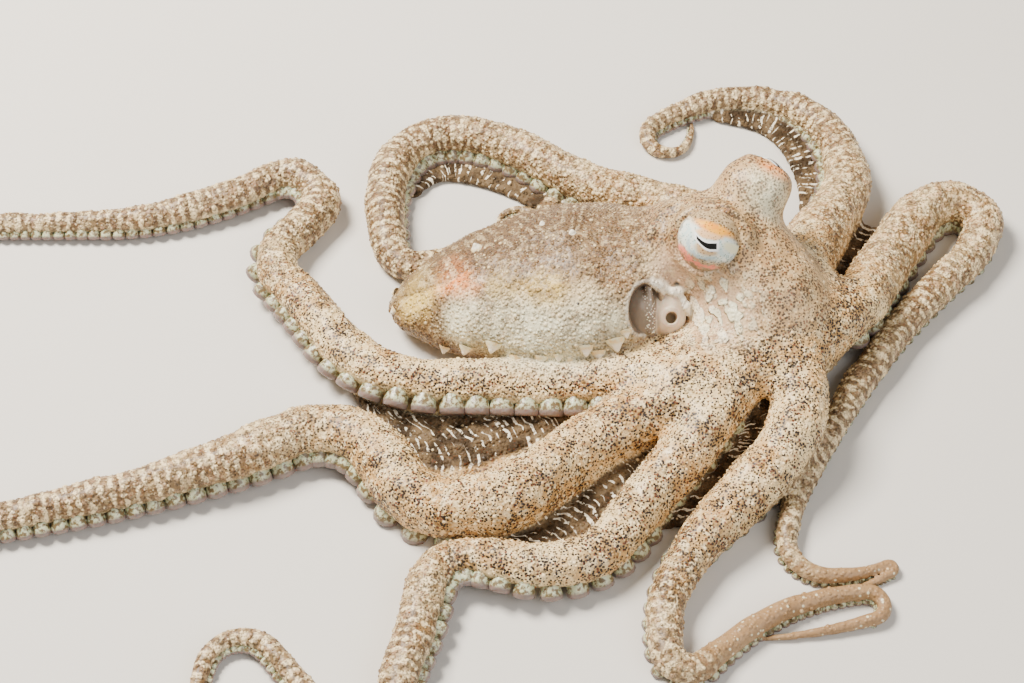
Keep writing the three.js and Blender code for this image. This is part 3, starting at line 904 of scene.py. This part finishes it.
def sucker_finish():
    """Mottled green-white walls, a smooth pinkish-grey rim, and painted shade down in the cup."""
    finish = Finish("suckers", "6e5c3c", Roughness=0.35, Subsurface_Weight=0.2,
                    Subsurface_Scale=0.0015, Coat_Weight=0.3, Coat_Roughness=0.2)
    crest, mottle = finish.trait("crest"), finish.clouds(0.6)
    finish.lay("c9cba6", finish.rise(mottle, 0.42, 0.58))
    finish.lay("84726a", finish.rise(finish.frayed(crest, mottle), 0.36, 0.56))
    # Darker down inside the cup: painted shade.
    finish.lay("6b5648", finish.rise(crest, 1.0, 1.3))
    finish.bump(mottle, 0.15)
    return finish.done()


def funnel_finish():
    finish = Finish("wet funnel", "eed8ba", Roughness=0.35, Subsurface_Weight=0.2,
                    Subsurface_Scale=0.0015, Coat_Weight=0.15, Coat_Roughness=0.25)
    finish.lay("d3ba9c", finish.rise(finish.clouds(2.5), 0.4, 0.65))
    finish.lay("dcc2a6", finish.rise(finish.clouds(5, 2), 0.4, 0.6))
    finish.lay("857462", finish.trait("collar"))
    grain, number = finish.spots(0.33)
    specks = finish.times(finish.rise(grain, 0.45, 0.25), finish.rise(number, 0.2, 0.3),
                          finish.trait("ridge"))
    finish.lay(WHITE, specks)
    bore = finish.trait("bore")
    # Darker down the bore: painted shade in the hole.
    finish.lay("736550", bore)
    finish.dull(bore, 1, 0.0)
    finish.bump(finish.plus(finish.clouds(0.9), specks, 0.8), 0.08)
    return finish.done()


def eye_finish(eye):
    """An eye: dotted skin above, a gold band, a black slit in pale blue, a pink rim below."""
    finish = Finish(eye["name"] + " iris", "c9ad84", Roughness=0.6, Coat_Weight=0.06,
                    Coat_Roughness=0.15, Specular_IOR_Level=0.25)
    calc, lay, plus, rise, times = finish.calc, finish.lay, finish.plus, finish.rise, finish.times
    look = finish.put("ShaderNodeUVMap", uv_map="look").outputs[0]
    axes = finish.put("ShaderNodeSeparateXYZ", {0: look}).outputs
    across, up = axes["X"], axes["Y"]
    mottle = finish.clouds(0.7, 4)
    dots, number = finish.spots(0.36)

    def blot(middle, half, turn, soft):
        """A soft oval patch with a ragged edge."""
        place = finish.put("ShaderNodeMapping", {
            "Vector": look, "Location": (*middle, 0), "Scale": (*half, 1),
            "Rotation": (0, 0, math.radians(turn))}, vector_type="TEXTURE").outputs[0]
        size = finish.frayed(finish.measure("LENGTH", place), mottle)
        return rise(size, 1 + soft / 2, 1 - soft / 2)

    def arc(middle, half, turn, width):
        """A ring along an oval's edge."""
        inner = blot(middle, [size - width for size in half], turn, 0.1)
        return times(blot(middle, half, turn, 0.1), finish.rest(inner))

    def marks(size):
        return times(rise(dots, size, size - 0.1), rise(number, 0.1, 0.2))

    def dotted(paint, share, ink, size=0.36):
        return finish.tint(times(marks(size), share), paint, ink)

    shade = rise(mottle, 0.35, 0.65)
    lay("a98d66", shade)
    lay(DARK_BROWN, marks(0.46), 0.8)
    pale = dotted(finish.tint(shade, "f1f2e4", "cfe4e0"), 0.7, "6c968c")
    gold = dotted(finish.tint(shade, "ffb628", "fc9c1c"), 0.7, "8a5a20")
    for middle, half, turn, soft, paint in [
            ((-0.05, -0.18), (0.9, 0.46), -16, 0.4, pale),
            ((-0.68, 0.3), (0.3, 0.34), 20, 0.6, pale),
            # A soft yellow-white blot at the lower right: a painted highlight.
            ((0.62, -0.28), (0.3, 0.14), -20, 0.8, "f3efc6"),
            ((-0.06, 0.14), (0.42, 0.17), -12, 0.5, dotted("efc08c", 0.6, "8f6238", 0.34)),
            ((0.04, 0.32), (0.6, 0.15), -22, 0.9, gold),
            ((-0.18, -0.3), (0.34, 0.2), -16, 0.6, dotted("cfae82", 0.8, "6d4c2e", 0.4))]:
        lay(paint, blot(middle, half, turn, soft))
    lay("b5c9cf", arc((-0.16, -0.14), (0.58, 0.5), -16, 0.08),
        rise(plus(across, up, 1.4), -0.55, -0.8), 0.8)
    lay(dotted("b5a283", 0.5, "6e4f31", 0.46), rise(plus(up, across, 0.25), -0.74, -0.82))
    lay("ff8f78", arc((-0.02, -0.04), (0.95, 0.84), -12, 0.11),
        rise(plus(across, up, 1.6), -1.0, -1.3), 0.95)
    lay("8a6a4e", finish.rest(blot((0, 0), (0.95, 0.95), 0, 0.04)), 0.6)

    bend = finish.most(calc("SUBTRACT", -0.05, across), 0.0)
    slit = plus(-0.225, times(bend, bend), 1.6)
    off = calc("ABSOLUTE", calc("SUBTRACT", up, slit))
    off = calc("SUBTRACT", off, rise(across, -0.5, 0.0, 0.05, 0.085))
    side = calc("ABSOLUTE", plus(across, 0.17))
    lay("ffffff", rise(off, 0.1, 0.04), rise(side, 0.4, 0.33))
    lay("050403", rise(off, 0.015, -0.005), rise(side, 0.31, 0.29))
    return finish.done()


def floor_finish():
    finish = Finish("pale floor", "dcd7cf", Roughness=0.8)
    finish.lay("d6d1c8", finish.clouds(30))
    return finish.done()


# ---- Growing suckers and granules ----

class Grower(Nodes):
    """A Geometry Nodes tree on an object, with named inputs."""

    def __init__(self, name, piece, **inputs):
        super().__init__(bpy.data.node_groups.new(name, "GeometryNodeTree"))
        self.tree.is_modifier = True
        face = self.tree.interface
        for way in ("INPUT", "OUTPUT"):
            face.new_socket("Geometry", in_out=way, socket_type="NodeSocketGeometry")
        kinds = {int: "NodeSocketInt", float: "NodeSocketFloat",
                 bpy.types.Material: "NodeSocketMaterial", bpy.types.Object: "NodeSocketObject"}
        modifier = piece.modifiers.new(name, "NODES")
        values = {}
        for key, value in inputs.items():
            socket = face.new_socket(key, in_out="INPUT", socket_type=kinds[type(value)])
            values[socket.identifier] = value
        modifier.node_group = self.tree
        for identifier, value in values.items():
            modifier[identifier] = value
        self.given = self.put("NodeGroupInput").outputs

    def trait(self, name, kind="FLOAT"):
        node = self.put("GeometryNodeInputNamedAttribute", {"Name": name}, data_type=kind)
        return node.outputs[0]

    def plant(self, points, turn, size):
        """Puts the shape on every point, as real faces with the finish on."""
        shape = self.put("GeometryNodeObjectInfo", {"Object": self.given["Shape"]})
        grown = self.put("GeometryNodeInstanceOnPoints", {
            "Points": points, "Instance": shape.outputs["Geometry"], "Rotation": turn,
            "Scale": size})
        real = self.put("GeometryNodeRealizeInstances", {"Geometry": grown.outputs[0]})
        dressed = self.put("GeometryNodeSetMaterial", {
            "Geometry": real.outputs[0], "Material": self.given["Finish"]})
        self.put("NodeGroupOutput", {0: dressed.outputs[0]})


def ring_sides(first, sides):
    """The pairs of neighbours round a ring of vertices."""
    return [(first + k, first + (k + 1) % sides) for k in range(sides)]


def turned_shape(name, profile, sides):
    """A round shape from (radius, height, crest) along its side, closed at its last point."""
    turns = [2 * math.pi * k / sides for k in range(sides)]
    *rings, top = profile
    places = [(radius * math.cos(turn), radius * math.sin(turn), height)
              for radius, height, _ in rings for turn in turns] + [(0, 0, top[1])]
    crests = [crest for _, _, crest in rings for _ in turns] + [top[2]]
    rings = [ring_sides(row * sides, sides) for row in range(len(rings))]
    faces = [(a, b, b + sides, a + sides) for ring in rings[:-1] for a, b in ring]
    faces += [(a, b, len(places) - 1) for a, b in rings[-1]]
    shape = mesh_object(name, np.array(places) / MM, faces)
    give_trait(shape.data, "crest", crests)
    return shape


# Profiles run from the skin outwards: radius, height, and how far it is towards the crest.
SUCKER_PROFILE = [(0.34, -0.25, 0.0), (0.46, 0.05, 0.2), (0.52, 0.3, 0.45), (0.5, 0.5, 0.8),
                  (0.4, 0.56, 1.0), (0.2, 0.42, 1.3), (0, 0.36, 1.4)]
GRANULE_PROFILE = [(1.0, -0.2, 0.0), (0.75, 0.3, 0.5), (0, 0.55, 1.0)]
PAPILLA_PROFILE = [(1.05, -0.4, 0.0), (0.8, 0.0, 0.1), (0.54, 0.22, 0.5), (0.36, 0.48, 0.9),
                   (0.2, 0.72, 1.0), (0, 0.84, 1.0)]
SUCKER_SIDES, GRANULE_SIDES, PAPILLA_SIDES = 12, 6, 10
# Of the suckers, in arm radii: the distance in one row, the width, how far they stand towards
# the underside and to either flank.
SUCKER_SPACING, SUCKER_WIDTH, SUCKER_DEPTH, SUCKER_SPREAD = 0.82, 0.86, 0.58, 0.46
FIRST_SUCKER, LEAST_SUCKER = 9.0, 0.4
GRANULE_SPACING, LEAST_GRANULE, LARGEST_GRANULE = 0.6, 0.14, 0.42
GRANULES_PER_SQUARE_METRE = 4.5e6
PATCH_REACH = 0.0015        # half the width of a granule's patch on its map
BODY = len(ROUTES)          # the number after the arms', for mantle and head


def sucker_seats(routes):
    """Places, facings and widths of the suckers: two rows, side by side in turn."""
    seats = []
    for route in routes:
        distance, row = FIRST_SUCKER, -1
        while distance < route["length"] - 1:
            radius = float(at(route, "radius", distance))
            oral, flank = at(route, "oral", distance), at(route, "flank", distance)
            place = at(route, "middle", distance) + oral * SUCKER_DEPTH * radius
            place = place + flank * row * SUCKER_SPREAD * radius
            facing = unit(oral * 0.9 + flank * row * 0.35 - np.array((0, 0, 0.5)))
            width = SUCKER_WIDTH * radius
            if width > LEAST_SUCKER and place[2] + facing[2] * 0.4 * width > -0.2 * width:
                seats.append((place, facing, width))
            distance += SUCKER_SPACING * radius / 2
            row = -row
    return [np.array(values) for values in zip(*seats)]


def papilla_seats():
    """Places on the mantle's surface, facing out and down at its edge, and widths."""
    edge = np.array(PAPILLAE)
    mirrored = edge * (1, -1, 1, 1) + (0, 2 * MANTLE_MIDDLE, 0, 0)
    seats = np.concatenate([edge, mirrored, BACK_PAPILLAE])
    places, widths = seats[:, :3], seats[:, 3]
    for _ in range(3):
        gap = mantle_gap(*places.T)
        slope = np.stack([mantle_gap(*(places + step).T) - gap for step in np.eye(3) * 0.05], -1)
        outward = unit(slope)
        places = places - outward * (gap + COAT_DEPTH)[:, None]
    hang = np.where(np.arange(len(seats)) < 2 * len(edge), 0.75, 0.0)[:, None]
    return places, unit(outward - hang * np.array((0, 0, 1.0))), widths


def make_grown(name, seats, profile, sides, finish):
    """A round shape at each of many seats: places, facings and widths."""
    places, facings, widths = seats
    seats = mesh_object(name, places, [])
    give_trait(seats.data, "facing", facings, "FLOAT_VECTOR")
    give_trait(seats.data, "width", widths * MM)
    shape = turned_shape(name + " shape", profile, sides)
    grower = Grower(name + " rows", seats, Shape=shape, Finish=finish)
    turn = grower.put("FunctionNodeAlignRotationToVector", {
        "Vector": grower.trait("facing", "FLOAT_VECTOR")}, axis="Z")
    grower.plant(grower.given["Geometry"], turn.outputs[0], grower.trait("width"))
    grown = plain_copy(seats, name)
    bpy.data.objects.remove(shape)
    above = vertex_places(grown.data)
    above[:, 2] = np.maximum(above[:, 2], 0.03 * MM)
    grown.data.vertices.foreach_set("co", above.ravel())
    grown.data.update()
    return grown


def root_map(places, owner):
    """Where places lie on the skin rolled out flat: along a limb or the body, and round it."""
    if owner < BODY:
        route = ROUTES[ARM_NAMES[owner]]
        spot, _ = Tree(route["middle"]).nearest(places)
        offset = places - route["middle"][spot]
        along = route["along"][spot] + (offset * route["forward"][spot]).sum(1)
        across = (offset * route["side"][spot]).sum(1)
        up = (offset * route["up"][spot]).sum(1)
        along = along / route["length"]
    else:
        along = (places[:, 0] - MANTLE_TIP) / (places[:, 0].max() - MANTLE_TIP)
        across, up = places[:, 1] - MANTLE_MIDDLE, places[:, 2] - MANTLE_HEIGHTS[2]
    turn = np.arctan2(across, -up) / (2 * math.pi) + 0.5
    return np.column_stack([along, turn]) * 0.98 + 0.01


def give_root_map(granules, owner):
    """Maps each granule to a small patch where its root lies."""
    count = GRANULE_SIDES * (len(GRANULE_PROFILE) - 1) + 1
    places = vertex_places(granules.data).reshape(-1, count, 3) / MM
    roots = np.repeat(root_map(places.mean(axis=1), owner), count, axis=0)
    k = np.arange(count)
    angle, size = 2 * math.pi * k / GRANULE_SIDES, 1.0 - 0.5 * (k // GRANULE_SIDES)
    patch = np.column_stack([np.cos(angle), np.sin(angle)]) * size[:, None] * PATCH_REACH
    give_map(granules.data, "OFBake", np.clip(roots + np.tile(patch, (len(places), 1)), 0, 1))


def grow_granules(name, skin, owner, finish, seed):
    """Granules on the part of the skin that one owner has."""
    bearer = add_object(name, skin.data)
    shape = turned_shape("granule shape", GRANULE_PROFILE, GRANULE_SIDES)
    grower = Grower("granules", bearer, Owner=owner, Spacing=GRANULE_SPACING * MM,
                    Smallest=LEAST_GRANULE * MM, Largest=LARGEST_GRANULE * MM, Seed=seed,
                    Shape=shape, Finish=finish)
    given = grower.given
    mine = grower.put("FunctionNodeCompare", {2: grower.trait("owner", "INT"),
                      3: given["Owner"]}, data_type="INT", operation="EQUAL")
    scatter = grower.put("GeometryNodeDistributePointsOnFaces", {
        "Mesh": given["Geometry"], "Selection": mine.outputs[0],
        "Distance Min": given["Spacing"], "Density Max": GRANULES_PER_SQUARE_METRE,
        "Density Factor": grower.trait("granular"), "Seed": given["Seed"]},
        distribute_method="POISSON")
    chance = grower.put("FunctionNodeRandomValue", {"Seed": given["Seed"]})
    steep = grower.put("ShaderNodeMath", {0: chance.outputs[1], 1: 3.0}, operation="POWER")
    size = grower.put("ShaderNodeMapRange", {"Value": steep.outputs[0],
                      "To Min": given["Smallest"], "To Max": given["Largest"]})
    paleness = grower.put("FunctionNodeRandomValue", {"Seed": 7})
    marked = grower.put("GeometryNodeStoreNamedAttribute", {
        "Geometry": scatter.outputs["Points"], "Name": "paleness",
        "Value": paleness.outputs[1]}, data_type="FLOAT", domain="POINT")
    grower.plant(marked.outputs[0], scatter.outputs["Rotation"], size.outputs[0])
    granules = plain_copy(bearer, name)
    bpy.data.objects.remove(shape)
    give_root_map(granules, owner)
    return granules


# ---- Eyes, funnel and papillae ----

def make_eye(eye, finish):
    """The eyeball, with a map of its face: how far across and up each place is."""
    rows, sides = EYE_ROWS, EYE_SIDES
    look = unit(eye["look"])
    level = unit(np.array(eye["level"]) - look * np.dot(eye["level"], look))
    rise = np.cross(look, level)
    places = [look]
    for row in range(1, rows):
        tilt = math.pi * row / rows
        for k in range(sides):
            turn = 2 * math.pi * k / sides
            ring = level * math.cos(turn) + rise * math.sin(turn)
            places.append(look * math.cos(tilt) + ring * math.sin(tilt))
    places = np.array(places + [-look])
    rings = [ring_sides(1 + row * sides, sides) for row in range(rows - 1)]
    faces = [(0, a, b) for a, b in rings[0]]
    faces += [(a, a + sides, b + sides, b) for ring in rings[:-1] for a, b in ring]
    faces += [(len(places) - 1, b, a) for a, b in rings[-1]]
    piece = mesh_object(eye["name"] + "_ball", np.array(eye["middle"]) + places * eye["radius"],
                        faces)
    spread = [places @ np.array(eye["across"]), places @ np.array(eye["upward"])]
    give_map(piece.data, "look", np.column_stack(spread))
    piece.data.materials.append(finish)
    return piece


def balls_gap(x, y, z, balls, width):
    """Balls grown into one another."""
    gap = ball_gap(x, y, z, balls[0])
    for ball in balls[1:]:
        gap = blended(gap, ball_gap(x, y, z, ball), width)
    return gap


def make_funnel(finish):
    """The funnel: a smooth bulb with a narrow bore, and a collar beside it."""
    axes = [np.arange(low, low + size, FUNNEL_CELL)
            for low, size in zip(FUNNEL_CORNER, FUNNEL_REACH)]
    cells = [laid(axis, way) for way, axis in enumerate(axes)]
    aim = unit(FUNNEL_AIM)
    mouth = np.array(FUNNEL_BULB[0][0]) + aim * FUNNEL_BULB[0][1]
    ridge = points_along(FUNNEL_RIDGE, FUNNEL_RIDGE_STEPS)
    ridge = [(place, FUNNEL_RIDGE_RADIUS) for place in ridge]
    past, aside, _ = from_line(*cells, mouth, aim)
    lip = np.exp(-((aside - FUNNEL_LIP) / 0.16) ** 2) * 0.16
    lip += np.exp(-((aside - FUNNEL_BORE - 0.12) / 0.14) ** 2) * 0.14
    bulb = balls_gap(*cells, FUNNEL_BULB, BULB_SOFTNESS) - lip * ease(past, -1.5, -0.5)
    bulb = hollowed(bulb, np.maximum(aside - FUNNEL_BORE, -FUNNEL_BORE_DEPTH - past), 0.2)
    whole = blended(bulb, balls_gap(*cells, FUNNEL_COLLAR, COLLAR_SOFTNESS), 0.4)
    whole = blended(whole, balls_gap(*cells, ridge, RIDGE_SOFTNESS), 0.5)
    funnel = surfaced("funnel_tube", whole, FUNNEL_CORNER, FUNNEL_CELL)
    places = (vertex_places(funnel.data) / MM).T
    past, aside, _ = from_line(*places, mouth, aim)
    bore = (1 - ease(aside, FUNNEL_BORE - 0.15, FUNNEL_BORE + 0.1)) * ease(-past, 0.15, 0.9)
    give_trait(funnel.data, "bore", bore * ease(past, -4, -3))
    collar = ease(balls_gap(*places, FUNNEL_BULB, BULB_SOFTNESS), 0.1, 0.5)
    give_trait(funnel.data, "collar", collar)
    give_trait(funnel.data, "ridge", 1 - ease(balls_gap(*places, ridge, RIDGE_SOFTNESS), 0.1, 0.5))
    funnel.data.materials.append(finish)
    return funnel


# ---- The octopus ----

CAMERA_AIM = np.array((-35.5, 5.0, 0.0))
CAMERA_AWAY, CAMERA_ELEVATION, CAMERA_FIELD = 305.0, 50.0, 27.0

# The left eye's face is the right one's in a mirror that stands between them.
tilt = math.radians(CAMERA_ELEVATION)
EYE_RIGHT.update(across=(1.0, 0.0, 0.0), upward=(0.0, math.sin(tilt), math.cos(tilt)))
mirror = unit(np.array(EYE_LEFT["middle"]) - np.array(EYE_RIGHT["middle"]))
for key in ("across", "upward"):
    way = np.array(EYE_RIGHT[key])
    EYE_LEFT[key] = tuple(way - 2 * mirror * np.dot(way, mirror))

skin = make_skin()
skin_traits(skin.data)
skin.data.materials.append(skin_finish())
pieces = [(skin, "skin")]

finish = granule_finish()
for number, name in enumerate(ARM_NAMES + ["body"]):
    granules = grow_granules("granules_" + name, skin, number, finish, number + 1)
    pieces.append((granules, "skin"))

finish = sucker_finish()
for side, names in (("right", ARM_NAMES[:4]), ("left", ARM_NAMES[4:])):
    seats = sucker_seats([ROUTES[name] for name in names])
    suckers = make_grown("suckers_" + side, seats, SUCKER_PROFILE, SUCKER_SIDES, finish)
    pieces.append((suckers, "skin"))
papillae = make_grown("papillae", papilla_seats(), PAPILLA_PROFILE, PAPILLA_SIDES,
                      papilla_finish())
pieces.append((papillae, "skin"))
funnel = make_funnel(funnel_finish())
pieces.append((funnel, "funnel"))
for eye in EYES:
    ball = make_eye(eye, eye_finish(eye))
    pieces.append((ball, "eye"))
    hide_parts(eye["name"])

for piece, slot in pieces:
    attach(piece, "root")
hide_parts("funnel")
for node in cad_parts:
    if node not in ("eye_right", "eye_left", "funnel"):
        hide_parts(node)

# ---- Floor, light and camera ----

floor = mesh_object("floor", [(-3000, -3000, 0), (3000, -3000, 0), (3000, 3000, 0),
                              (-3000, 3000, 0)], [(0, 1, 2, 3)])
floor.data.materials.append(floor_finish())


def make_lamp(name, place, size, power, colour):
    lamp = add_object(name, bpy.data.lights.new(name, "AREA"))
    lamp.data.energy, lamp.data.size, lamp.data.color = power, size, colour
    lamp.location = place
    aim = Vector(CAMERA_AIM * MM) - lamp.location
    lamp.rotation_euler = aim.to_track_quat("-Z", "Y").to_euler()


make_lamp("key", (-0.28, 0.16, 0.42), 0.2, 8.5, (1.0, 0.94, 0.85))
make_lamp("fill", (0.35, -0.35, 0.45), 0.5, 3.0, (0.95, 0.97, 1.0))
world = bpy.data.worlds.new("studio")
world.use_nodes = True
sky = world.node_tree.nodes["Background"].inputs
sky["Color"].default_value = (1.0, 0.96, 0.9, 1)
sky["Strength"].default_value = 0.3
bpy.context.scene.world = world

camera = add_object("camera", bpy.data.cameras.new("camera"))
camera.data.lens = camera.data.sensor_width / 2 / math.tan(math.radians(CAMERA_FIELD / 2))
back = np.array((0.0, -math.cos(tilt), math.sin(tilt)))
camera.location = Vector((CAMERA_AIM + CAMERA_AWAY * back) * MM)
camera.rotation_euler = (math.pi / 2 - tilt, 0, 0)
camera.data.clip_start = 0.01
bpy.context.scene.camera = camera
